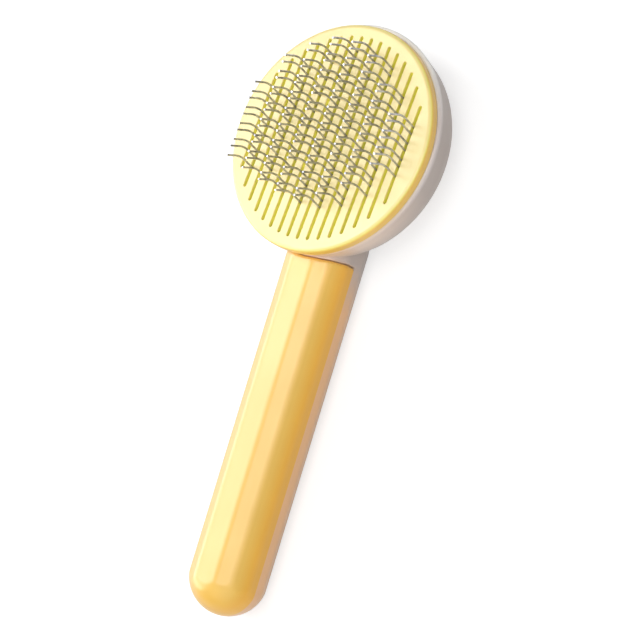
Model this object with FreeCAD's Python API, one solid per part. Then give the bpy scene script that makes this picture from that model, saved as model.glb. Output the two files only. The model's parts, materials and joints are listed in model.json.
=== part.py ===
"""Self-cleaning slicker brush for pets: a round pin head on a faceted handle.

Millimetres. The brush lies on its back with its pins up: +X is across the brush, +Y runs along
the handle towards the top of the head and +Z points up. The origin is the middle of the
footprint, on the surface that the brush lies on.

Two frames are used while the pieces are drawn. In the head's frame, zero is the middle of the
face, z points out of the face and y runs along the slots; depths are counted down from the face.
In the handle's frame, the handle's middle line is y and its parting line is at z = 0.
"""
import FreeCAD, Part
import math
import os

from FreeCAD import Placement, Rotation, Vector

# How the head sits on the handle
HEAD_TILT = 5.75                # degrees between the face and the handle's line
FACE_HEIGHT = 17.0              # the middle of the face over the handle's middle line

# Face plate, which slides along the pins
FACE_RADIUS = 39.9
FACE_SKIN = 2.0
FACE_DEPTH = 3.4
SKIRT_WALL = 2.0
FACE_EDGE_ROUND = 1.5
SKIRT_EDGE_ROUND = 0.3
SLOT_COUNT = 16
SLOT_PITCH = 4.17
SLOT_WIDTH = 1.2
SLOT_EDGE_ROUND = 0.25
SLOT_MARGIN = 4.25              # from the slots' ends to the rim

# Pins of bent wire in every second slot, each with a foot behind the pin bed
WIRE = 0.7
PIN_HEIGHT = 14.0               # over the face
KNEE_HEIGHT = 7.2               # over the face
KNEE_ROUND = 10.0
LOWER_LEAN = 11.5               # degrees towards the top of the head
UPPER_LEAN = 17.0               # degrees towards the handle
ANKLE_DEPTH = 1.0               # where the straight shank starts to lean
ANKLE_ROUND = 1.5
FOOT = 1.5
FOOT_ROUND = 0.5
NARROW_GAP = 2.35
WIDE_GAP = 3.38
PIN_MARGIN = 2.5                # from a pin's root to the end of its slot
# Row by row from the +X side: pins, place of the topmost along the slots, first gap
PIN_ROWS = [
    (7, 9.6, NARROW_GAP),
    (13, 18.3, NARROW_GAP),
    (18, 26.9, NARROW_GAP),
    (20, 30.2, NARROW_GAP),
    (20, 30.2, NARROW_GAP),
    (18, 26.6, NARROW_GAP),
    (15, 21.0, NARROW_GAP),
    (10, 9.9, WIDE_GAP),
]

# Pin bed, and the plate that clamps the pins' feet from behind
BED_GAP = 0.4
BED_THICKNESS = 2.6
BED_CLEARANCE = 0.8             # inside the face plate's skirt
CLAMP_THICKNESS = 1.5
CLAMP_MARGIN = 2.4              # the clamp plate is this much smaller than the bed
WIRE_CLEARANCE = 0.07

# White rear body: the head's cup, its root in the handle and the back half of the handle
CUP_OFFSET = 0.9                # the cup's axis lies this far above the face's, towards the top
CUP_OVERHANG = 0.74             # of the cup's mouth round the face plate
CUP_DRAFT = 13.5                # degrees, the taper of the cup's wall
CUP_WALL = 2.0
CUP_GAP = 0.3                   # under the face plate's skirt
CUP_BACK = 22.0                 # depth of the outside of the cup's back
CUP_BACK_ROUND = 11.5
MOUTH_ROUND = 1.0
ROOT_INSET = 1.05               # the root under the front shell's top edge ends inside the rim
BEZEL_WIDTH = 2.4
BEZEL_HEIGHT = 0.8
SCOOP_MARGIN = 6.5              # thumb room round the button, cut into the handle's root
SCOOP_ANGLE = 45.0

# Handle
HANDLE_LENGTH = 109.0           # from the face plate's rim to the centre of the rounded end
HANDLE_FLAT = 8.5
HANDLE_FACET = 6.2
HANDLE_SIDE = 3.93
HANDLE_WALL = 2.0
FACET_BLEND = 5.0
END_BLEND = 6.0                 # where the facets run out on the rounded end
END_MARGIN = 0.03               # the end's radius over the facets' corners
SHELL_SEAM = 0.12               # between the front shell and the root
SHELL_EDGE_ROUND = 1.0
LOCATING_LIP = 1.4
LOCATING_WALL = 0.9
LOCATING_GAP = 0.15

# Push button
BUTTON_RADIUS = 19.5
BUTTON_CLEARANCE = 0.4
BUTTON_WALL = 1.8
BUTTON_TOP = 2.4
BUTTON_EDGE_ROUND = 3.0
BUTTON_DISH_RADIUS = 15.0
BUTTON_DISH = 1.0
FLOOR_GAP = 0.1                 # under the button's lowest point
FLANGE_OVERLAP = 6.0
FLANGE_THICKNESS = 1.8
FLANGE_GAP = 0.2
SPIGOT_WALL = 1.4
SPIGOT_HEIGHT = 3.6
SPIGOT_GAP = 0.1

# Guide posts behind the face plate, each inside a return spring
POST_RADIUS = 2.0
POST_CLEARANCE = 0.3
POST_PLACES = [(2.5, 0.0), (-1.5, 10.9), (-1.5, -10.9)]   # slot pitches across, mm along the cup
SPRING_WIRE = 0.6
SPRING_POST_GAP = 0.4
SPRING_TURNS = 6.5
SPRING_END_GAP = 0.05
WELL_GAP = 0.5
WELL_DEPTH = 3.2
WELL_WALL = 1.3
WELL_FLOOR = 1.6

# Screws
SCREW_RADIUS = 1.0
SCREW_HEAD_RADIUS = 1.9
SCREW_HEAD = 1.3
SCREW_SLOT = 0.5
SCREW_BITE = 6.0
SCREW_GAP = 0.15
THREAD_GAP = 0.04
BOSS_WALL = 1.6
BED_SCREW_MARGIN = 5.0          # from the bed's rim
BED_SCREW_PLACES = [4.5, -5.5]  # slot pitches across
HANDLE_SCREW_RECESS = 0.8
HANDLE_SCREWS = [24.1, 60.1, 96.1]      # from the face plate's rim along the handle
BOSS_ROOT = 1.0                 # how far a boss runs into the wall that carries it

# Depths down from the face
BED_FRONT = FACE_SKIN + BED_GAP
BED_BACK = BED_FRONT + BED_THICKNESS
CLAMP_BACK = BED_BACK + CLAMP_THICKNESS
CUP_MOUTH = FACE_DEPTH + CUP_GAP
CUP_INSIDE = CUP_BACK - CUP_WALL
FLANGE_BACK = CUP_INSIDE - FLANGE_GAP
FLANGE_FRONT = FLANGE_BACK - FLANGE_THICKNESS
WELL_BOTTOM = FLANGE_FRONT + WELL_DEPTH

# Radii and places that follow from the ones above
SLOT_CIRCLE = FACE_RADIUS - SLOT_MARGIN
BED_RADIUS = FACE_RADIUS - SKIRT_WALL - BED_CLEARANCE
BED_SCREW_CIRCLE = BED_RADIUS - BED_SCREW_MARGIN
CUP_RADIUS = FACE_RADIUS + CUP_OVERHANG
ROOT_RADIUS = FACE_RADIUS - ROOT_INSET
CUP_SLOPE = math.tan(math.radians(CUP_DRAFT))
CUP_BACK_RADIUS = CUP_RADIUS - (CUP_BACK - CUP_MOUTH) * CUP_SLOPE
CAVITY_RADIUS = CUP_RADIUS - CUP_WALL / math.cos(math.radians(CUP_DRAFT))
CAVITY_BACK_RADIUS = CAVITY_RADIUS - (CUP_INSIDE - CUP_MOUTH) * CUP_SLOPE
SPRING_RADIUS = POST_RADIUS + SPRING_POST_GAP + SPRING_WIRE / 2
WELL_RADIUS = SPRING_RADIUS + SPRING_WIRE / 2 + WELL_GAP
SPIGOT_RADIUS = BUTTON_RADIUS - BUTTON_WALL - SPIGOT_GAP
HANDLE_END = FACE_RADIUS + HANDLE_LENGTH

# Half sizes of the handle's section
FACET_ANGLES = [math.radians(60), math.radians(30)]
HALF_WIDTH = HANDLE_FLAT / 2 + HANDLE_FACET * sum(math.cos(angle) for angle in FACET_ANGLES)
HALF_HEIGHT = HANDLE_SIDE + HANDLE_FACET * sum(math.sin(angle) for angle in FACET_ANGLES)
END_RADIUS = math.hypot(HALF_WIDTH, HANDLE_SIDE) + END_MARGIN

# The button reaches down to the surface that the handle's back facet lies on
TILT = math.radians(HEAD_TILT)
BUTTON_ARM = CUP_OFFSET + BUTTON_RADIUS - BUTTON_EDGE_ROUND
BUTTON_DROP = FACE_HEIGHT + HALF_HEIGHT - FLOOR_GAP - BUTTON_EDGE_ROUND - BUTTON_ARM * math.sin(TILT)
BUTTON_BACK = BUTTON_EDGE_ROUND + BUTTON_DROP / math.cos(TILT)

NECK_EDGE = 1.0                 # the front shell's edges over this height get their round
EDGE_TOLERANCE = 0.01

UP = Vector(0, 0, 1)
ALONG = Vector(0, 1, 0)
ACROSS = Vector(1, 0, 0)
HEAD_PLACE = Placement(Vector(0, 0, FACE_HEIGHT), Rotation(ACROSS, -HEAD_TILT))
FAR = 400.0                     # larger than the brush, for cutting blocks
DEEP = 60.0                     # deeper than the brush in the head's frame


# Shapes in the head's frame
def disc(radius, front, back, x=0.0, y=0.0):
    """A round plate, post or hole from depth front to depth back."""
    return Part.makeCylinder(radius, back - front, Vector(x, y, -back), UP)


def turned(points):
    """A solid of revolution about the head's axis from (radius, depth) corners."""
    corners = [Vector(radius, 0, -depth) for radius, depth in points]
    return Part.Face(Part.makePolygon(corners + corners[:1])).revolve(Vector(), UP, 360)


def rounded_rings(solid, places):
    """Round the circular edges at each (radius, depth, size of the round)."""
    for radius, depth, size in places:
        edges = [edge for edge in solid.Edges if is_ring(edge, radius, depth)]
        solid = solid.makeFillet(size, edges)
    return solid


def is_ring(edge, radius, depth):
    if not isinstance(edge.Curve, Part.Circle):
        return False
    curve = edge.Curve
    return abs(curve.Radius - radius) < 0.01 and abs(curve.Center.z + depth) < 0.01


def placed(shape):
    """Carry a shape from the head's frame to the handle's."""
    copy = shape.copy()
    copy.Placement = HEAD_PLACE.multiply(copy.Placement)
    return copy


def on_cup_axis(shape):
    """Carry a shape from the middle of the face to the cup's axis."""
    return shape.translated(ALONG * CUP_OFFSET)


def slot_x(number):
    """Where slot 0, 1, 2 ... from the +X side lies."""
    return ((SLOT_COUNT - 1) / 2 - number) * SLOT_PITCH


def slot_reach(x):
    """How far the slot at x runs each way along the head."""
    return math.sqrt(SLOT_CIRCLE ** 2 - x ** 2)


def post_places():
    return [(pitches * SLOT_PITCH, CUP_OFFSET + y) for pitches, y in POST_PLACES]


def bed_screw_places():
    places = []
    for pitches in BED_SCREW_PLACES:
        x = pitches * SLOT_PITCH
        y = math.sqrt(BED_SCREW_CIRCLE ** 2 - x ** 2)
        places += [(x, y), (x, -y)]
    return places


def pin_places(row):
    """Where the pins of a row stand, from the top of the head down; the gaps alternate."""
    count, y, gap = PIN_ROWS[row]
    x = slot_x(2 * row)
    places = []
    for _ in range(count):
        if abs(y) < slot_reach(x) - PIN_MARGIN:
            places.append((x, y))
        y -= gap
        gap = NARROW_GAP + WIDE_GAP - gap
    return places


def face_plate():
    """Round slotted plate with a skirt, and the guide posts behind it."""
    plate = disc(FACE_RADIUS, 0, FACE_DEPTH)
    plate = rounded_rings(plate, [(FACE_RADIUS, 0, FACE_EDGE_ROUND),
                                  (FACE_RADIUS, FACE_DEPTH, SKIRT_EDGE_ROUND)])
    plate = plate.cut(disc(FACE_RADIUS - SKIRT_WALL, FACE_SKIN, FACE_DEPTH))
    plate = plate.cut(Part.makeCompound([slot(number) for number in range(SLOT_COUNT)]))
    plate = plate.makeFillet(SLOT_EDGE_ROUND, [edge for edge in plate.Edges if is_slot_edge(edge)])
    for x, y in post_places():
        guide = disc(POST_RADIUS, FACE_SKIN - SLOT_WIDTH / 2, WELL_BOTTOM, x, y)
        pilot = disc(SCREW_RADIUS + THREAD_GAP, WELL_BOTTOM - SCREW_BITE, WELL_BOTTOM, x, y)
        plate = plate.fuse(guide.cut(pilot))
    return plate


def slot(number):
    x = slot_x(number)
    half = slot_reach(x) - SLOT_WIDTH / 2
    block = Part.makeBox(SLOT_WIDTH, 2 * half, FACE_SKIN, Vector(x - SLOT_WIDTH / 2, -half, -FACE_SKIN))
    for y in (-half, half):
        block = block.fuse(disc(SLOT_WIDTH / 2, 0, FACE_SKIN, x, y))
    return block.removeSplitter()


def is_slot_edge(edge):
    """Whether an edge lies in the face and inside the rim."""
    box = edge.BoundBox
    in_face = abs(box.ZMin) < EDGE_TOLERANCE and abs(box.ZMax) < EDGE_TOLERANCE
    return in_face and box.DiagonalLength < 2 * SLOT_CIRCLE


def pin_bed():
    """Plate that the pins are pushed through from behind."""
    bed = disc(BED_RADIUS, BED_FRONT, BED_BACK)
    holes = []
    for row in range(len(PIN_ROWS)):
        for x, y in pin_places(row):
            holes.append(disc(WIRE / 2 + WIRE_CLEARANCE, BED_FRONT, BED_BACK, x, y))
    for x, y in post_places():
        holes.append(disc(POST_RADIUS + POST_CLEARANCE, BED_FRONT, BED_BACK, x, y))
    for x, y in bed_screw_places():
        holes.append(disc(SCREW_RADIUS + SCREW_GAP, BED_FRONT, BED_BACK, x, y))
        holes.append(disc(SCREW_HEAD_RADIUS + SCREW_GAP, BED_FRONT, BED_FRONT + SCREW_HEAD, x, y))
    return bed.cut(Part.makeCompound(holes))


def pin_clamp():
    """Plate behind the bed, with a groove for the feet of each row."""
    clamp = disc(BED_RADIUS - CLAMP_MARGIN, BED_BACK, CLAMP_BACK)
    width = WIRE + 2 * WIRE_CLEARANCE
    cuts = []
    for row in range(len(PIN_ROWS)):
        places = pin_places(row)
        x, top = places[0]
        low = places[-1][1] - FOOT - WIRE_CLEARANCE
        corner = Vector(x - width / 2, low, -BED_BACK - width)
        cuts.append(Part.makeBox(width, top + width / 2 - low, width, corner))
    for x, y in post_places():
        cuts.append(disc(POST_RADIUS + POST_CLEARANCE, BED_BACK, CLAMP_BACK, x, y))
    for x, y in bed_screw_places():
        cuts.append(disc(SCREW_RADIUS + SCREW_GAP, BED_BACK, CLAMP_BACK, x, y))
    return clamp.cut(Part.makeCompound(cuts))


def pin():
    """One wire: foot, straight shank, lower part leaning away from the handle, bent upper part."""
    sole = BED_BACK + WIRE_CLEARANCE + WIRE / 2
    knee = (KNEE_HEIGHT + ANKLE_DEPTH) * math.tan(math.radians(LOWER_LEAN))
    tip = knee - (PIN_HEIGHT - KNEE_HEIGHT) * math.tan(math.radians(UPPER_LEAN))
    line = [(-FOOT, -sole), (0, -sole), (0, -ANKLE_DEPTH), (knee, KNEE_HEIGHT), (tip, PIN_HEIGHT)]
    path = bent_path([Vector(0, y, z) for y, z in line], [FOOT_ROUND, ANKLE_ROUND, KNEE_ROUND])
    start = path.Edges[0]
    section = Part.Wire(Part.makeCircle(WIRE / 2, line_start(start), start.tangentAt(start.FirstParameter)))
    return path.makePipeShell([section], True, False)


def line_start(edge):
    return edge.valueAt(edge.FirstParameter)


def bent_path(corners, rounds):
    """Straight runs joined by arcs that touch both runs, one round for each inner corner."""
    edges = []
    start = corners[0]
    for before, corner, after, radius in zip(corners, corners[1:], corners[2:], rounds):
        back = (before - corner).normalize()
        ahead = (after - corner).normalize()
        half = (math.pi - back.getAngle(ahead)) / 2
        reach = radius * math.tan(half)
        middle = corner + (back + ahead).normalize() * (radius / math.cos(half) - radius)
        edges.append(Part.LineSegment(start, corner + back * reach).toShape())
        edges.append(Part.Arc(corner + back * reach, middle, corner + ahead * reach).toShape())
        start = corner + ahead * reach
    edges.append(Part.LineSegment(start, corners[-1]).toShape())
    return Part.Wire(edges)


def pin_row(row, shape):
    pins = []
    for x, y in pin_places(row):
        copy = shape.copy()
        copy.translate(Vector(x, y, 0))
        pins.append(copy)
    return Part.makeCompound(pins)


def screw(length):
    """Pan head screw along the head's axis, its head's underside at depth 0."""
    body = disc(SCREW_HEAD_RADIUS, -SCREW_HEAD, 0).fuse(disc(SCREW_RADIUS, 0, length))
    slot_block = Part.makeBox(2 * SCREW_HEAD_RADIUS, SCREW_SLOT, SCREW_SLOT,
                              Vector(-SCREW_HEAD_RADIUS, -SCREW_SLOT / 2, SCREW_HEAD - SCREW_SLOT))
    return body.cut(slot_block)


def bed_screws():
    """Screws from the front through bed and clamp plate into the cup's bosses."""
    length = CLAMP_BACK - BED_FRONT - SCREW_HEAD + SCREW_BITE
    screws = []
    for x, y in bed_screw_places():
        fitted = screw(length)
        fitted.translate(Vector(x, y, -BED_FRONT - SCREW_HEAD))
        screws.append(fitted)
    return Part.makeCompound(screws)


def post_screws():
    """Screws from behind through the carrier's wells into the guide posts."""
    screws = []
    for x, y in post_places():
        fitted = screw(WELL_FLOOR + SCREW_BITE - THREAD_GAP)
        fitted.rotate(Vector(), ACROSS, 180)
        fitted.translate(Vector(x, y, -WELL_BOTTOM - WELL_FLOOR))
        screws.append(fitted)
    return Part.makeCompound(screws)


def return_spring(x, y):
    """Compression spring round a guide post, from the clamp plate to the well's floor."""
    front = CLAMP_BACK + SPRING_END_GAP
    back = WELL_BOTTOM - SPRING_END_GAP
    pitch = (back - front) / SPRING_TURNS
    helix = Part.makeHelix(pitch, back - front, SPRING_RADIUS)
    section = Part.Wire(Part.makeCircle(SPRING_WIRE / 2, Vector(SPRING_RADIUS, 0, 0), ALONG))
    coil = Part.Wire(helix.Edges).makePipeShell([section], True, True)
    coil.translate(Vector(x, y, -back))
    return coil.common(disc(WELL_RADIUS, front, back, x, y))


def button_carrier():
    """Flanged plate inside the cup: it pulls the posts and carries the push button."""
    plate = disc(BUTTON_RADIUS + FLANGE_OVERLAP, FLANGE_FRONT, FLANGE_BACK)
    spigot = disc(SPIGOT_RADIUS, FLANGE_BACK, FLANGE_BACK + SPIGOT_HEIGHT)
    spigot = spigot.cut(disc(SPIGOT_RADIUS - SPIGOT_WALL, FLANGE_BACK, FLANGE_BACK + SPIGOT_HEIGHT))
    carrier = on_cup_axis(plate.fuse(spigot))
    for x, y in post_places():
        carrier = carrier.fuse(disc(WELL_RADIUS + WELL_WALL, FLANGE_FRONT, WELL_BOTTOM + WELL_FLOOR, x, y))
    for x, y in post_places():
        carrier = carrier.cut(disc(WELL_RADIUS, FLANGE_FRONT, WELL_BOTTOM, x, y))
        carrier = carrier.cut(disc(SCREW_RADIUS + SCREW_GAP, WELL_BOTTOM, WELL_BOTTOM + WELL_FLOOR, x, y))
    return carrier.removeSplitter()


def push_button():
    """Round cap on the carrier's spigot, with a shallow dish for the thumb."""
    cap = disc(BUTTON_RADIUS, FLANGE_BACK, BUTTON_BACK)
    cap = rounded_rings(cap, [(BUTTON_RADIUS, BUTTON_BACK, BUTTON_EDGE_ROUND)])
    cap = cap.cut(disc(BUTTON_RADIUS - BUTTON_WALL, FLANGE_BACK, BUTTON_BACK - BUTTON_TOP))
    ball = (BUTTON_DISH_RADIUS ** 2 + BUTTON_DISH ** 2) / (2 * BUTTON_DISH)
    return on_cup_axis(cap.cut(Part.makeSphere(ball, Vector(0, 0, -BUTTON_BACK - ball + BUTTON_DISH))))


# Shapes in the handle's frame
def handle_bar(inset=0.0):
    """The faceted bar, from past its end to the head's middle, with blended facets."""
    x, z = HALF_WIDTH, HANDLE_SIDE
    corners = [(x, z)]
    for angle in FACET_ANGLES:
        x -= HANDLE_FACET * math.cos(angle)
        z += HANDLE_FACET * math.sin(angle)
        corners.append((x, z))
    corners += [(-x, z) for x, z in reversed(corners)]
    corners += [(-x, -z) for x, z in corners]
    outline = Part.makePolygon([Vector(x, 0, z) for x, z in corners + corners[:1]])
    if inset:
        outline = outline.makeOffset2D(-inset, 2)
    bar = Part.Face(outline).extrude(ALONG * FAR)
    bar.translate(ALONG * -FAR)
    edges = [edge for edge in bar.Edges if edge.Length > FAR / 2]
    return bar.makeFillet(FACET_BLEND, edges)


def ball_ended(radius):
    """Round bar with a ball for its end, and the bar runs on under the head."""
    bar = Part.makeCylinder(radius, HANDLE_END, ALONG * -HANDLE_END, ALONG)
    return bar.fuse(Part.makeSphere(radius, ALONG * -HANDLE_END))


def handle_outside():
    """The handle's whole outer shape, with the facets blended into its rounded end."""
    bar = handle_bar().common(ball_ended(END_RADIUS))
    rim = [edge for edge in bar.Edges if edge.BoundBox.YMax < -HANDLE_END]
    return bar.makeFillet(END_BLEND, rim)


def round_ended(radius):
    """Upright block with a half-round end."""
    end = Part.makeCylinder(radius, FAR, Vector(0, -HANDLE_END, -FAR / 2), UP)
    return end.fuse(Part.makeBox(2 * radius, HANDLE_END, FAR, Vector(-radius, -HANDLE_END, -FAR / 2)))


def front_half(shape):
    return shape.common(Part.makeBox(FAR, FAR, FAR, Vector(-FAR / 2, -FAR, 0)))


def back_half(shape):
    return shape.common(Part.makeBox(FAR, FAR, FAR, Vector(-FAR / 2, -FAR, -FAR)))


def handle_post(y, radius, low, high):
    """An upright post or hole in the handle, y from the face plate's rim, between two heights."""
    return Part.makeCylinder(radius, high - low, Vector(0, -FACE_RADIUS - y, low), UP)


def handle_front_shell():
    """Yellow front half of the handle; its top edge follows the head and is rounded outside."""
    neck = placed(disc(ROOT_RADIUS + SHELL_SEAM, 0, DEEP))
    outside = front_half(handle_outside()).cut(neck)
    top_edges = [edge for edge in outside.Edges if on_neck_circle(edge) and edge.BoundBox.ZMax > NECK_EDGE]
    outside = outside.makeFillet(SHELL_EDGE_ROUND, top_edges)
    inside = front_half(handle_bar(HANDLE_WALL).common(ball_ended(END_RADIUS - HANDLE_WALL)))
    shell = outside.cut(inside)
    for y in HANDLE_SCREWS:
        shell = shell.fuse(handle_post(y, SCREW_RADIUS + BOSS_WALL, 0, HALF_HEIGHT - HANDLE_WALL + BOSS_ROOT))
        shell = shell.cut(handle_post(y, SCREW_RADIUS + THREAD_GAP, 0, SCREW_BITE + THREAD_GAP))
    return shell


def on_neck_circle(edge):
    """Whether an edge lies on the round cut at the top of the front shell."""
    for end in edge.Vertexes:
        spot = HEAD_PLACE.inverse().multVec(end.Point)
        if abs(math.hypot(spot.x, spot.y) - ROOT_RADIUS - SHELL_SEAM) > EDGE_TOLERANCE:
            return False
    return True


def cup_outside():
    bezel_radius = BUTTON_RADIUS + BUTTON_CLEARANCE + BEZEL_WIDTH
    bezel_back = CUP_BACK + BEZEL_HEIGHT
    cup = turned([(0, CUP_MOUTH), (CUP_RADIUS, CUP_MOUTH), (CUP_BACK_RADIUS, CUP_BACK),
                  (bezel_radius, CUP_BACK), (bezel_radius, bezel_back), (0, bezel_back)])
    cup = rounded_rings(cup, [(CUP_BACK_RADIUS, CUP_BACK, CUP_BACK_ROUND),
                              (CUP_RADIUS, CUP_MOUTH, MOUTH_ROUND),
                              (bezel_radius, bezel_back, BEZEL_HEIGHT / 2)])
    return on_cup_axis(cup)


def cup_cavity():
    cavity = turned([(0, CUP_MOUTH), (CAVITY_RADIUS, CUP_MOUTH), (CAVITY_BACK_RADIUS, CUP_INSIDE),
                     (0, CUP_INSIDE)])
    cavity = rounded_rings(cavity, [(CAVITY_BACK_RADIUS, CUP_INSIDE, CUP_BACK_ROUND - CUP_WALL)])
    button_hole = disc(BUTTON_RADIUS + BUTTON_CLEARANCE, CUP_INSIDE, CUP_BACK + BEZEL_HEIGHT)
    return on_cup_axis(cavity.fuse(button_hole))


def thumb_scoop(margin):
    """Cone round the push button that clears the handle's root."""
    start = BUTTON_RADIUS + margin
    wide = start + DEEP * math.tan(math.radians(SCOOP_ANGLE))
    low = CUP_BACK + DEEP
    return on_cup_axis(turned([(0, CUP_BACK), (start, CUP_BACK), (wide, low), (0, low)]))


def rear_body():
    """White moulding: the cup, its root in the handle and the handle's back half."""
    cup = cup_outside()
    root = handle_bar().common(placed(disc(ROOT_RADIUS, CUP_MOUTH, DEEP)))
    back = back_half(handle_outside())
    body = root.fuse(back).cut(placed(thumb_scoop(SCOOP_MARGIN)))
    core = handle_bar(HANDLE_WALL).common(ball_ended(END_RADIUS - HANDLE_WALL))
    core = core.cut(placed(cup)).cut(placed(thumb_scoop(SCOOP_MARGIN - HANDLE_WALL * math.sqrt(2))))
    body = body.cut(core).fuse(locating_lip())
    head_top = -HALF_HEIGHT + HANDLE_SCREW_RECESS + SCREW_HEAD
    for y in HANDLE_SCREWS:
        body = body.fuse(handle_post(y, SCREW_HEAD_RADIUS + BOSS_WALL, BOSS_ROOT - HALF_HEIGHT, 0))
        body = body.cut(handle_post(y, SCREW_HEAD_RADIUS + SCREW_GAP, -HALF_HEIGHT, head_top))
        body = body.cut(handle_post(y, SCREW_RADIUS + SCREW_GAP, -HALF_HEIGHT, 0))
    body = body.fuse(placed(cup)).cut(placed(cup_cavity()))
    bosses = [placed(disc(SCREW_RADIUS + BOSS_WALL, CLAMP_BACK, CUP_INSIDE + BOSS_ROOT, x, y).common(cup))
              for x, y in bed_screw_places()]
    pilots = [placed(disc(SCREW_RADIUS + THREAD_GAP, CLAMP_BACK, CLAMP_BACK + SCREW_BITE + THREAD_GAP, x, y))
              for x, y in bed_screw_places()]
    return body.fuse(bosses).cut(pilots)


def locating_lip():
    """Thin wall inside the parting line that the front shell drops over."""
    end = HALF_WIDTH - HANDLE_WALL - LOCATING_GAP
    lip = round_ended(end).cut(round_ended(end - LOCATING_WALL))
    lip = lip.common(Part.makeBox(FAR, FAR, LOCATING_LIP, Vector(-FAR / 2, -FAR, 0)))
    foot = round_ended(END_RADIUS - BOSS_ROOT).cut(round_ended(end - LOCATING_WALL))
    foot = foot.common(Part.makeBox(FAR, FAR, LOCATING_LIP, Vector(-FAR / 2, -FAR, -LOCATING_LIP)))
    foot = foot.common(handle_bar(BOSS_ROOT))
    return lip.fuse(foot).cut(placed(disc(ROOT_RADIUS + SHELL_SEAM, 0, DEEP)))


def handle_screws():
    """Screws from the handle's back facet into the front shell's bosses."""
    head_under = -HALF_HEIGHT + HANDLE_SCREW_RECESS + SCREW_HEAD
    screws = []
    for y in HANDLE_SCREWS:
        fitted = screw(SCREW_BITE - head_under)
        fitted.rotate(Vector(), ACROSS, 180)
        fitted.translate(Vector(0, -FACE_RADIUS - y, head_under))
        screws.append(fitted)
    return Part.makeCompound(screws)


def all_pieces():
    pieces = {
        "face_plate": placed(face_plate()),
        "pin_bed": placed(pin_bed()),
        "pin_clamp": placed(pin_clamp()),
        "bed_screws": placed(bed_screws()),
        "rear_body": rear_body(),
        "handle_front_shell": handle_front_shell(),
        "handle_screws": handle_screws(),
        "button_carrier": placed(button_carrier()),
        "push_button": placed(push_button()),
        "post_screws": placed(post_screws()),
    }
    one = pin()
    for row in range(len(PIN_ROWS)):
        pieces[f"pin_row_{row + 1}"] = placed(pin_row(row, one))
    for number, (x, y) in enumerate(post_places(), 1):
        pieces[f"return_spring_{number}"] = placed(return_spring(x, y))
    return pieces


pieces = all_pieces()
extent = Part.makeCompound(list(pieces.values())).optimalBoundingBox(False, False)
origin_shift = Vector(0, -(extent.YMin + extent.YMax) / 2, HALF_HEIGHT)
os.makedirs("parts", exist_ok=True)
for node, shape in pieces.items():
    shape.translate(origin_shift)
    shape.exportStep(f"parts/{node}.step")
    print(node, shape.isValid(), len(shape.Solids), round(shape.Volume, 3))
print("shift", origin_shift, "button back", BUTTON_BACK, "box", extent)
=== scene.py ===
"""The looks of a self-cleaning slicker brush, built round its packed construction model.

The brush lies on its back with its pins up, in metres. The head's frame is in millimetres: it has
zero in the middle of the face, x across the brush, y towards the top of the head and z out of the
face.
"""

import json
import math

import bmesh
import bpy
from mathutils import Matrix, Vector

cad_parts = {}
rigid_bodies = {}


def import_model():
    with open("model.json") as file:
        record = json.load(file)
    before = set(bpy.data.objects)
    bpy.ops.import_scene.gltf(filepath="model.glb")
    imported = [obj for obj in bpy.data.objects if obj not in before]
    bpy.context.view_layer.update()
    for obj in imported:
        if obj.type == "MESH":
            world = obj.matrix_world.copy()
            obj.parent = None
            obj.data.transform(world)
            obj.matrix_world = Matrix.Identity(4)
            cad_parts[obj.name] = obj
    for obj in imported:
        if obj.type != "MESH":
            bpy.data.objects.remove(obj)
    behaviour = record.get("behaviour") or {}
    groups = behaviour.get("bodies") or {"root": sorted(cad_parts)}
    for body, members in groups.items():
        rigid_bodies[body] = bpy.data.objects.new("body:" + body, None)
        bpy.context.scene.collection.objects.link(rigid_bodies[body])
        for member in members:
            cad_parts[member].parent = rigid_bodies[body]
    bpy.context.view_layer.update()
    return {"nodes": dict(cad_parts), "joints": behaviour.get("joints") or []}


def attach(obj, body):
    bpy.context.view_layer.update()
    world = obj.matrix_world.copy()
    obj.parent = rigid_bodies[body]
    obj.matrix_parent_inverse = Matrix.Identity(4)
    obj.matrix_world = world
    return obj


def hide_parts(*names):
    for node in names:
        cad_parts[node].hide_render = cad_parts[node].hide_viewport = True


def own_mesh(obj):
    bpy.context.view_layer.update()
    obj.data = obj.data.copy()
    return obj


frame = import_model()
scene = bpy.context.scene
nodes = frame["nodes"]
slide = frame["joints"][0]


# Rear body: one white moulding that is the cup behind the pins, the handle's root and the back
# half of the handle. Moulded plastic has a satin spark-eroded grain, faint clouds in its colour
# and fine rubbed streaks. Light is painted onto the white: a warm glow on the handle's sides, a
# highlight along the cup's lip and light on the cup's wall by the neck.
def extent(node, direction):
    """How far a construction piece reaches each way along a direction."""
    reach = [vertex.co.dot(direction) for vertex in nodes[node].data.vertices]
    return min(reach), max(reach)


MILLIMETRE = 0.001
head_out = Vector(slide["axis"]).normalized()
head_up = Vector((0, head_out.z, -head_out.y))
face_middle = (head_up * (sum(extent("face_plate", head_up)) / 2)
               + head_out * extent("face_plate", head_out)[1])
head_axes = Matrix((Vector((1, 0, 0)), head_up, head_out)).transposed().to_4x4()
on_head = Matrix.Translation(face_middle) @ head_axes @ Matrix.Scale(MILLIMETRE, 4)


def colour(red, green, blue):
    """A shader's linear colour from its sRGB screen values, 0 to 255."""
    parts = []
    for value in (red, green, blue):
        share = value / 255
        parts.append(share / 12.92 if share < 0.04 else ((share + 0.055) / 1.055) ** 2.4)
    return (*parts, 1)


def new_group(name, inputs, outputs):
    """A shader node group; inputs are (name, kind, value) and outputs are (name, kind)."""
    group = bpy.data.node_groups.new(name, "ShaderNodeTree")
    for title, kind, value in inputs:
        group.interface.new_socket(title, in_out="INPUT", socket_type=kind).default_value = value
    for title, kind in outputs:
        group.interface.new_socket(title, in_out="OUTPUT", socket_type=kind)
    return (group, group.nodes.new("NodeGroupInput").outputs,
            group.nodes.new("NodeGroupOutput").inputs)


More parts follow.
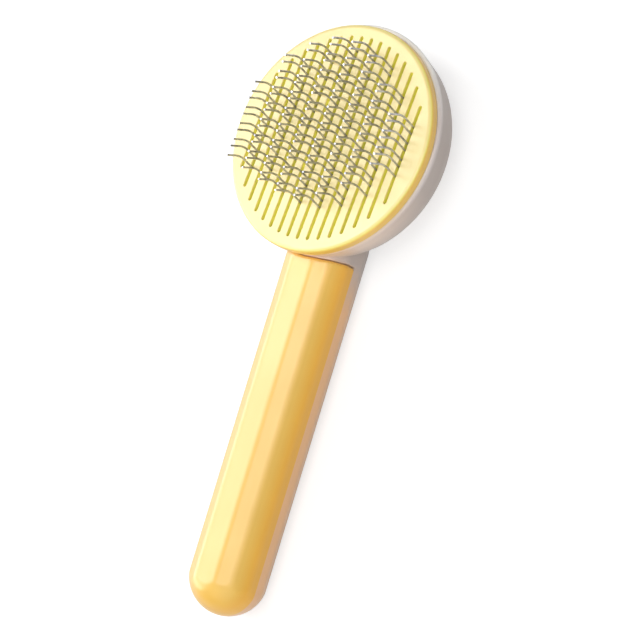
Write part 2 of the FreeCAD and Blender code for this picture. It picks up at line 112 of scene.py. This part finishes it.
def feed(tree, socket, value):
    """Give an input socket a link or a plain value."""
    if isinstance(value, bpy.types.NodeSocket):
        tree.links.new(value, socket)
    else:
        socket.default_value = value


def object_place(tree, stretch=(1, 1, 1)):
    """Object coordinates, scaled along each axis."""
    mapping = tree.nodes.new("ShaderNodeMapping")
    mapping.inputs["Scale"].default_value = stretch
    feed(tree, mapping.inputs["Vector"], tree.nodes.new("ShaderNodeTexCoord").outputs["Object"])
    return mapping.outputs["Vector"]


def split(tree, vector):
    """The X, Y and Z outputs of a vector."""
    node = tree.nodes.new("ShaderNodeSeparateXYZ")
    feed(tree, node.inputs["Vector"], vector)
    return node.outputs


def noise(tree, place, scale, detail=2.0):
    """Noise of about 0 to 1; scale is in patches to the metre."""
    node = tree.nodes.new("ShaderNodeTexNoise")
    feed(tree, node.inputs["Vector"], place)
    node.inputs["Scale"].default_value = scale
    node.inputs["Detail"].default_value = detail
    return node.outputs["Fac"]


def remap(tree, value, low, high, to_low=0.0, to_high=1.0):
    """Map a value from one range to another, held at its ends."""
    node = tree.nodes.new("ShaderNodeMapRange")
    for title, number in (("Value", value), ("From Min", low), ("From Max", high),
                          ("To Min", to_low), ("To Max", to_high)):
        feed(tree, node.inputs[title], number)
    return node.outputs["Result"]


def compute(tree, operation, *values):
    """Do a sum on one, two or three values."""
    node = tree.nodes.new("ShaderNodeMath")
    node.operation = operation
    for socket, value in zip(node.inputs, values):
        feed(tree, socket, value)
    return node.outputs["Value"]


def mix(tree, factor, first, second, mode="MIX"):
    """Mix two colours: none of the second at factor 0, and all of it at 1."""
    node = tree.nodes.new("ShaderNodeMix")
    node.data_type = "RGBA"
    node.blend_type = mode
    for title, value in (("Factor_Float", factor), ("A_Color", first), ("B_Color", second)):
        socket = next(socket for socket in node.inputs if socket.identifier == title)
        feed(tree, socket, value)
    return next(socket for socket in node.outputs if socket.identifier == "Result_Color")


def bump(tree, height, distance, strength=1.0):
    """A normal from a height; distance is the relief's depth in metres."""
    node = tree.nodes.new("ShaderNodeBump")
    node.inputs["Distance"].default_value = distance
    feed(tree, node.inputs["Strength"], strength)
    feed(tree, node.inputs["Height"], height)
    return node.outputs["Normal"]


# Layers of noise on moulded plastic: how fine each is, and the span of it that shows. Heights are
# in metres, and SCRATCH_DEPTH is a share of the grain's height.
CLOUD_SCALE = 55
CLOUD_SPAN = (0.35, 0.65)
CLOUD_ROUGHNESS = 0.06
GRAIN_SCALE = 2400
GRAIN_HEIGHT = 0.00003
SCRATCH_SCALE = 1300
SCRATCH_STRETCH = (1, 0.05, 1)
SCRATCH_SPAN = (0.58, 0.72)
SCRATCH_DEPTH = -0.6
PATCH_SCALE = 28
PATCH_SPAN = (0.42, 0.62)
FINE_DETAIL = 3


def skin_group():
    """Skin of moulded plastic: its colour, roughness and relief at each spot."""
    tree, given, result = new_group(
        "moulded_skin",
        [("Colour", "NodeSocketColor", (0.8, 0.8, 0.8, 1)), ("Clouding", "NodeSocketFloat", 0.05),
         ("Roughness", "NodeSocketFloat", 0.4), ("Grain", "NodeSocketFloat", 0.5),
         ("Rubbing", "NodeSocketFloat", 0.1)],
        [("Colour", "NodeSocketColor"), ("Roughness", "NodeSocketFloat"),
         ("Normal", "NodeSocketVector")])
    spot = object_place(tree)
    clouds = remap(tree, noise(tree, spot, CLOUD_SCALE, FINE_DETAIL), *CLOUD_SPAN)
    grain = noise(tree, spot, GRAIN_SCALE)
    along = object_place(tree, SCRATCH_STRETCH)
    scratches = remap(tree, noise(tree, along, SCRATCH_SCALE, FINE_DETAIL), *SCRATCH_SPAN)
    patches = remap(tree, noise(tree, spot, PATCH_SCALE), *PATCH_SPAN)
    rubbed = compute(tree, "MULTIPLY", scratches, patches)
    shade = compute(tree, "SUBTRACT", 1.0, compute(tree, "MULTIPLY", given["Clouding"], clouds))
    feed(tree, result["Colour"], mix(tree, 1.0, given["Colour"], shade, "MULTIPLY"))
    uneven = compute(tree, "MULTIPLY_ADD", clouds, CLOUD_ROUGHNESS, given["Roughness"])
    feed(tree, result["Roughness"],
         compute(tree, "MULTIPLY_ADD", rubbed, given["Rubbing"], uneven))
    relief = compute(tree, "MULTIPLY_ADD", rubbed, SCRATCH_DEPTH, grain)
    feed(tree, result["Normal"], bump(tree, relief, GRAIN_HEIGHT, given["Grain"]))
    return tree


def place_group():
    """Where a spot is in the head's frame, in millimetres."""
    tree, given, result = new_group(
        "place_on_head", [],
        [("Radius", "NodeSocketFloat"), ("Up", "NodeSocketFloat"), ("Out", "NodeSocketFloat")])
    turned = tree.nodes.new("ShaderNodeMapping")
    turned.inputs["Location"].default_value = on_head.inverted().to_translation()
    turned.inputs["Rotation"].default_value = on_head.inverted().to_euler()
    turned.inputs["Scale"].default_value = on_head.inverted().to_scale()
    feed(tree, turned.inputs["Vector"], tree.nodes.new("ShaderNodeTexCoord").outputs["Object"])
    parts = split(tree, turned.outputs["Vector"])
    across = compute(tree, "MULTIPLY", parts["X"], parts["X"])
    squares = compute(tree, "MULTIPLY_ADD", parts["Y"], parts["Y"], across)
    feed(tree, result["Radius"], compute(tree, "SQRT", squares))
    feed(tree, result["Up"], parts["Y"])
    feed(tree, result["Out"], parts["Z"])
    return tree


moulded_skin = skin_group()
place_on_head = place_group()


def head_place(tree):
    """The outputs of a place_on_head group set in a material."""
    node = tree.nodes.new("ShaderNodeGroup")
    node.node_tree = place_on_head
    return node.outputs


def new_material(name):
    """An empty material's node tree and its shader's inputs."""
    material = bpy.data.materials.new(name)
    material.use_nodes = True
    return material, material.node_tree, material.node_tree.nodes["Principled BSDF"].inputs


def plastic(name, paint, roughness=0.34, clouding=0.04, grain=0.4, rubbing=0.1):
    """Moulded plastic; paint is a colour, or a function that makes one in the node tree."""
    material, tree, shader = new_material(name)
    skin = tree.nodes.new("ShaderNodeGroup")
    skin.node_tree = moulded_skin
    feed(tree, skin.inputs["Colour"], paint(tree) if callable(paint) else paint)
    for title, value in (("Clouding", clouding), ("Roughness", roughness), ("Grain", grain),
                         ("Rubbing", rubbing)):
        skin.inputs[title].default_value = value
    feed(tree, shader["Base Color"], skin.outputs["Colour"])
    feed(tree, shader["Roughness"], skin.outputs["Roughness"])
    feed(tree, shader["Normal"], skin.outputs["Normal"])
    shader["Specular IOR Level"].default_value = 0.9
    shader["Coat Weight"].default_value = 0.6
    shader["Coat Roughness"].default_value = 0.3
    return material


def dress(node, material):
    """Give a construction piece its real finish."""
    for holder in nodes[node].material_slots:
        holder.material = material


# Whites of the rear body, and where each begins and is full: up and out in the head's frame, and
# BACK in metres above the floor. All but COOL_WHITE are painted light: a warm glow on the
# handle's sides, a highlight along the lip that is whitest at the top, and light by the neck.
COOL_WHITE = colour(196, 180, 170)
# Painted warm glow on the white of the handle's sides, less near the floor
WARM_GLOW_PAINT = colour(240, 186, 132)
GLOW_UP = (-36.0, -52.0)
BACK = (0.0045, 0.0005)
BACK_GLOW = 0.35
# Painted highlight along the cup's lip, whiter towards the top
LIP_HIGHLIGHT = colour(228, 215, 209)
LIP_OUT = (-6.5, -4.6)
TOP_HIGHLIGHT = colour(255, 252, 246)
TOP_HIGHLIGHT_UP = (14.0, 32.0)
# Painted light on the cup's wall by the neck
NECK_LIGHT_PAINT = colour(250, 220, 196)
NECK_UP = (-8.0, -38.0)
NECK_OUT = (-17.0, -8.5)


def rear_paint(tree):
    """Cool white, with a painted highlight at the lip and painted warm light at the neck and
    handle.
    """
    place = head_place(tree)
    lip_highlight_mask = remap(tree, place["Out"], *LIP_OUT)
    neck_light_mask = compute(tree, "MULTIPLY", remap(tree, place["Up"], *NECK_UP),
                   remap(tree, place["Out"], *NECK_OUT))
    # Painted warm glow on the handle's sides, fading near the floor
    height = split(tree, object_place(tree))["Z"]
    glow = compute(tree, "MULTIPLY", remap(tree, place["Up"], *GLOW_UP),
                   remap(tree, height, *BACK, 1.0, BACK_GLOW))
    # Painted highlight: whiter towards the top of the lip
    bright = remap(tree, place["Up"], *TOP_HIGHLIGHT_UP)
    edge = mix(tree, bright, LIP_HIGHLIGHT, TOP_HIGHLIGHT)
    cup = mix(tree, neck_light_mask, mix(tree, lip_highlight_mask, COOL_WHITE, edge), NECK_LIGHT_PAINT)
    return mix(tree, glow, cup, WARM_GLOW_PAINT)


dress("rear_body", plastic("rear_white", rear_paint))

# Handle's front shell: the yellow half that the fingers close on, a faceted moulding with soft
# ridges and a rounded end. It drops over the lip of the rear body and is screwed from behind. Its
# top edge is painted paler, as painted light that lifts the shade in the seam by the cup, and its
# sides and rounded end are painted deeper, as painted shade.
# EDGE_RADIUS and END_UP are in the head's frame, and SIDE_SHARES of the shell's own height.
HANDLE_YELLOW = colour(245, 196, 80)
# Painted light on the top edge, lifting the shade in the seam by the cup
EDGE_LIGHT_YELLOW = colour(255, 206, 104)
EDGE_RADIUS = (39.9, 39.2)
# Painted shade at the rounded end
END_SHADE_YELLOW = colour(252, 190, 44)
END_UP = (-152.0, -162.0)
# Painted shade at the sides, towards the parting edge
SIDE_SHADE_YELLOW = colour(243, 178, 30)
SIDE_SHARES = (0.62, 0.35)


def handle_paint(tree):
    """Yellow, with painted light on the top edge and painted shade at the sides and rounded end.
    """
    place = head_place(tree)
    edge = remap(tree, place["Radius"], *EDGE_RADIUS)
    end = remap(tree, place["Up"], *END_UP)
    low, high = extent("handle_front_shell", Vector((0, 0, 1)))
    levels = [low + share * (high - low) for share in SIDE_SHARES]
    side = remap(tree, split(tree, object_place(tree))["Z"], *levels)
    body = mix(tree, side, HANDLE_YELLOW, SIDE_SHADE_YELLOW)
    return mix(tree, end, mix(tree, edge, body, EDGE_LIGHT_YELLOW), END_SHADE_YELLOW)


dress("handle_front_shell", plastic("handle_yellow", handle_paint, rubbing=0.14))


# Pins: bright drawn steel wire, bent at a knee and stood in rows through the pin bed. Drawing
# leaves fine lines along the wire, and dull spots lie on it here and there.
LINE_SCALE = 5000
LINE_STRETCH = (1, 1, 0.08)
LINE_SHARE = 0.5
LINE_HEIGHT = 0.00001
SPOT_SCALE = 420
WORN_SPAN = (0.6, 0.95)
WORN_ROUGHNESS = 0.15


def wire_group():
    """Skin of drawn metal, with faint lines and dull spots."""
    tree, given, result = new_group(
        "drawn_metal",
        [("Bright", "NodeSocketColor", (0.7, 0.7, 0.7, 1)),
         ("Dull", "NodeSocketColor", (0.4, 0.4, 0.4, 1)),
         ("Roughness", "NodeSocketFloat", 0.3), ("Relief", "NodeSocketFloat", 0.3)],
        [("Colour", "NodeSocketColor"), ("Roughness", "NodeSocketFloat"),
         ("Normal", "NodeSocketVector")])
    lines = noise(tree, object_place(tree, LINE_STRETCH), LINE_SCALE)
    spots = noise(tree, object_place(tree), SPOT_SCALE, FINE_DETAIL)
    worn = remap(tree, compute(tree, "MULTIPLY_ADD", lines, LINE_SHARE, spots), *WORN_SPAN)
    feed(tree, result["Colour"], mix(tree, worn, given["Bright"], given["Dull"]))
    feed(tree, result["Roughness"],
         compute(tree, "MULTIPLY_ADD", worn, WORN_ROUGHNESS, given["Roughness"]))
    feed(tree, result["Normal"], bump(tree, lines, LINE_HEIGHT, given["Relief"]))
    return tree


drawn_metal = wire_group()


def metal(name, bright, dull, roughness):
    """Bare or plated metal, from the colours of its bright and its dull parts."""
    material, tree, shader = new_material(name)
    skin = tree.nodes.new("ShaderNodeGroup")
    skin.node_tree = drawn_metal
    for title, value in (("Bright", bright), ("Dull", dull), ("Roughness", roughness)):
        skin.inputs[title].default_value = value
    feed(tree, shader["Base Color"], skin.outputs["Colour"])
    feed(tree, shader["Roughness"], skin.outputs["Roughness"])
    feed(tree, shader["Normal"], skin.outputs["Normal"])
    shader["Metallic"].default_value = 1.0
    return material


pin_steel = metal("pin_steel", colour(208, 210, 226), colour(146, 148, 158), 0.3)
for node in nodes:
    if node.startswith("pin_row"):
        dress(node, pin_steel)

# Pin bed and clamp: a thick yellow disc drilled for the pins, and the thinner plate that is
# screwed over their feet. Both show only down the slots, and their green yellow is painted
# bright, as painted light that lifts the shade there.
inner_yellow_painted_light = plastic("inner_yellow_painted_light", colour(252, 244, 114), roughness=0.5)
for node in ("pin_bed", "pin_clamp"):
    dress(node, inner_yellow_painted_light)

# Return springs: three compression springs of zinc plated wire round the guide posts, wound with
# a closed turn at each end. They push the button back from between clamp and carrier.
SPRING_WIRE = 0.6
SPRING_TURNS = 4.5
TURN_STEPS = 28
WIRE_SIDES = 10
head_millimetres = on_head.inverted()
spring_zinc = metal("spring_zinc", colour(196, 198, 204), colour(140, 140, 138), 0.32)


def wind(shape, section, turns, pitch, centre):
    """Wind a wire section on round an upright axis; gives the section at its far end."""
    made = bmesh.ops.spin(
        shape, geom=section, cent=centre, axis=(0, 0, 1), dvec=(0, 0, -pitch / TURN_STEPS),
        angle=math.tau * turns, steps=round(TURN_STEPS * turns))
    return made["geom_last"]


def return_spring(node):
    """A spring in place of its construction piece, from the head's frame."""
    spots = [head_millimetres @ vertex.co for vertex in nodes[node].data.vertices]
    low = Vector([min(spot[axis] for spot in spots) for axis in range(3)])
    high = Vector([max(spot[axis] for spot in spots) for axis in range(3)])
    centre = (low + high) / 2
    centre.z = 0
    radius = (high.x - low.x - SPRING_WIRE) / 2
    # The wire's own thickness and a closed turn at each end come off the height
    pitch = (high.z - low.z - 3 * SPRING_WIRE) / SPRING_TURNS
    shape = bmesh.new()
    section = bmesh.ops.create_circle(shape, segments=WIRE_SIDES, radius=SPRING_WIRE / 2)["verts"]
    upright = Matrix.Rotation(math.pi / 2, 4, "X")
    bmesh.ops.transform(shape, matrix=upright, verts=section)
    start = centre + Vector((radius, 0, high.z - SPRING_WIRE / 2))
    bmesh.ops.translate(shape, vec=start, verts=section)
    end = section + list({edge for vertex in section for edge in vertex.link_edges})
    for turns, rise in ((1, SPRING_WIRE), (SPRING_TURNS, pitch), (1, SPRING_WIRE)):
        end = wind(shape, end, turns, rise, centre)
    bmesh.ops.holes_fill(shape, edges=shape.edges[:])
    bmesh.ops.recalc_face_normals(shape, faces=shape.faces[:])
    bmesh.ops.transform(shape, matrix=on_head, verts=shape.verts[:])
    mesh = bpy.data.meshes.new(node + "_wound")
    shape.to_mesh(mesh)
    shape.free()
    mesh.shade_smooth()
    mesh.materials.append(spring_zinc)
    piece = bpy.data.objects.new(node + "_wound", mesh)
    scene.collection.objects.link(piece)
    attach(piece, slide["parent"])
    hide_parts(node)
    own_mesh(piece)


for node in sorted(nodes):
    if node.startswith("return_spring"):
        return_spring(node)

# Button carrier and push button: a yellow flanged plate that is screwed to the face plate's guide
# posts from behind, and the round cap over it, with a shallow dish for the thumb.
dress("button_carrier", plastic("carrier_yellow", colour(226, 190, 92), roughness=0.5))
dress("push_button", plastic("button_yellow", HANDLE_YELLOW, roughness=0.38, rubbing=0.2))

# Face plate: the round slotted plate that wipes the pins clean when it is pushed out. Its front
# is painted paler, as a painted sheen; its rounded rim and its skirt keep the handle's deep
# yellow, and the slots' walls are painted a bright green yellow, as painted light that lifts
# their shade.
# Radius and depth are in the head's frame.
# Painted sheen: the front is paler than the rim
SHEEN_PALE_YELLOW = colour(250, 228, 146)
RIM_RADIUS = (39.4, 39.8)
# Painted light on the slots' walls, lifting their shade
SLOT_LIGHT_YELLOW = colour(252, 246, 110)
SLOT_OUT = (-0.1, -0.7)


def face_paint(tree):
    """Pale in front as painted sheen, deep yellow at the rim and skirt, and painted light in the
    slots.
    """
    place = head_place(tree)
    rim = remap(tree, place["Radius"], *RIM_RADIUS)
    slot_light_mask = remap(tree, place["Out"], *SLOT_OUT)
    front = mix(tree, slot_light_mask, SHEEN_PALE_YELLOW, SLOT_LIGHT_YELLOW)
    return mix(tree, rim, front, HANDLE_YELLOW)


dress("face_plate", plastic("face_yellow", face_paint, clouding=0.03, grain=0.5))

# Screws: small zinc plated pan heads that hold the handle's halves, the clamp and the carrier.
screw_zinc = metal("screw_zinc", colour(200, 200, 206), colour(150, 150, 150), 0.28)
for node in ("bed_screws", "handle_screws", "post_screws"):
    dress(node, screw_zinc)

# Studio: a wide white floor just under the brush, a white surround that is brighter low on the
# left, where the brush's slanting sides mirror it, five round softboxes, and a card that shows
# only in gloss. FAR_REACH and LEFT_FLOOR are places on the floor, in metres, and GLOSS_HEIGHT and
# LEFT_SKY are parts of a direction of length 1.
FLOOR_DROP = 0.0002
FLOOR_REACH = 3.0
FLOOR_GLOW = 0.6
FAR_REACH = (0.35, 1.2)
FLOOR_MIRRORED = 0.2
AMBIENT = 0.2
HORIZON = 0.25
GLOSS_HEIGHT = 0.6
LEFT_GLOW = 1.0
LEFT_FLOOR = (-0.08, -0.2)
LEFT_SKY = (-0.8, -0.95)


def backdrop_glow(tree):
    """The floor's own light: less in gloss, and more far out, where the lamps' light fades."""
    rays = tree.nodes.new("ShaderNodeLightPath").outputs
    direct = compute(tree, "MAXIMUM", rays["Is Camera Ray"], rays["Is Transmission Ray"])
    spot = object_place(tree)
    glow = remap(tree, split(tree, spot)["X"], *LEFT_FLOOR, FLOOR_MIRRORED, LEFT_GLOW)
    mirrored = compute(tree, "MULTIPLY", rays["Is Glossy Ray"], glow)
    reach = tree.nodes.new("ShaderNodeVectorMath")
    reach.operation = "LENGTH"
    feed(tree, reach.inputs[0], spot)
    shown = remap(tree, reach.outputs["Value"], *FAR_REACH, FLOOR_GLOW, 1.0)
    return compute(tree, "MULTIPLY_ADD", direct, shown, mirrored)


shape = bmesh.new()
bmesh.ops.create_grid(shape, x_segments=1, y_segments=1, size=FLOOR_REACH)
bmesh.ops.translate(shape, vec=(0, 0, -FLOOR_DROP), verts=shape.verts[:])
floor_mesh = bpy.data.meshes.new("floor")
shape.to_mesh(floor_mesh)
shape.free()
floor = bpy.data.objects.new("floor", floor_mesh)
scene.collection.objects.link(floor)
floor_white, tree, shader = new_material("floor_white")
shader["Base Color"].default_value = colour(205, 205, 205)
shader["Roughness"].default_value = 0.9
shader["Specular IOR Level"].default_value = 0.1
shader["Emission Color"].default_value = (1, 1, 1, 1)
feed(tree, shader["Emission Strength"], backdrop_glow(tree))
floor_mesh.materials.append(floor_white)

world = bpy.data.worlds.new("studio")
scene.world = world
world.use_nodes = True
sky = world.node_tree
background = sky.nodes["Background"]
background.inputs["Color"].default_value = (1, 1, 1, 1)
rays = sky.nodes.new("ShaderNodeLightPath").outputs
towards = split(sky, sky.nodes.new("ShaderNodeTexCoord").outputs["Generated"])
leftward = remap(sky, towards["X"], *LEFT_SKY, 0, LEFT_GLOW)
upward = remap(sky, towards["Z"], 0, GLOSS_HEIGHT, HORIZON, 1.0)
mirrored = compute(sky, "MAXIMUM", leftward, upward)
plain = remap(sky, rays["Is Glossy Ray"], 0, 1, AMBIENT, mirrored)
direct = compute(sky, "MAXIMUM", rays["Is Camera Ray"], rays["Is Transmission Ray"])
feed(sky, background.inputs["Strength"], remap(sky, direct, 0, 1, plain, 1.0))


LAMP_DISTANCE = 1.5


def softbox(name, place, spread, radiance, glossy=True, diffuse=True):
    """A round softbox in the direction of place; spread is its half angle, from the brush."""
    direction = Vector(place).normalized()
    light = bpy.data.lights.new(name, "AREA")
    light.shape = "DISK"
    light.size = 2 * LAMP_DISTANCE * math.tan(math.radians(spread))
    light.energy = radiance * (math.pi * light.size / 2) ** 2
    lamp = bpy.data.objects.new(name, light)
    lamp.location = direction * LAMP_DISTANCE
    lamp.rotation_euler = direction.to_track_quat("Z", "Y").to_euler()
    lamp.visible_glossy = glossy
    lamp.visible_diffuse = diffuse
    scene.collection.objects.link(lamp)


softbox("key", (-0.53, 0.08, 0.845), 18, 4.2)
softbox("top", (0.36, 0.1, 0.93), 15, 3.4)
softbox("side", (-0.95, 0, 0.3), 15, 3.0)
softbox("fill", (0.7, -0.1, 0.7), 25, 1.05, glossy=False)
softbox("foot", (0.3, -0.85, 0.42), 25, 1.5, glossy=False)
softbox("card", (-0.8, -0.42, 0.43), 19, 3.0, diffuse=False)

# Camera: a long lens above the brush's right side, turned so that the handle leans.
LENS = 194.965
SENSOR_WIDTH = 36
CAMERA_RIGHT = (0.752801, 0.292083, -0.589897)
CAMERA_ABOVE = (-0.216193, 0.956159, 0.197538)
CAMERA_BACK = (0.621732, -0.021176, 0.782944)
CAMERA_FROM_FACE = (0.721648, -0.082894, 0.885288)

camera_data = bpy.data.cameras.new("camera")
camera_data.sensor_width = SENSOR_WIDTH
camera_data.lens = LENS
camera_data.clip_end = 20
camera = bpy.data.objects.new("camera", camera_data)
camera_turn = Matrix((CAMERA_RIGHT, CAMERA_ABOVE, CAMERA_BACK)).transposed().to_4x4()
camera.matrix_world = Matrix.Translation(face_middle + Vector(CAMERA_FROM_FACE)) @ camera_turn
scene.collection.objects.link(camera)
scene.camera = camera
scene.view_settings.view_transform = "Standard"
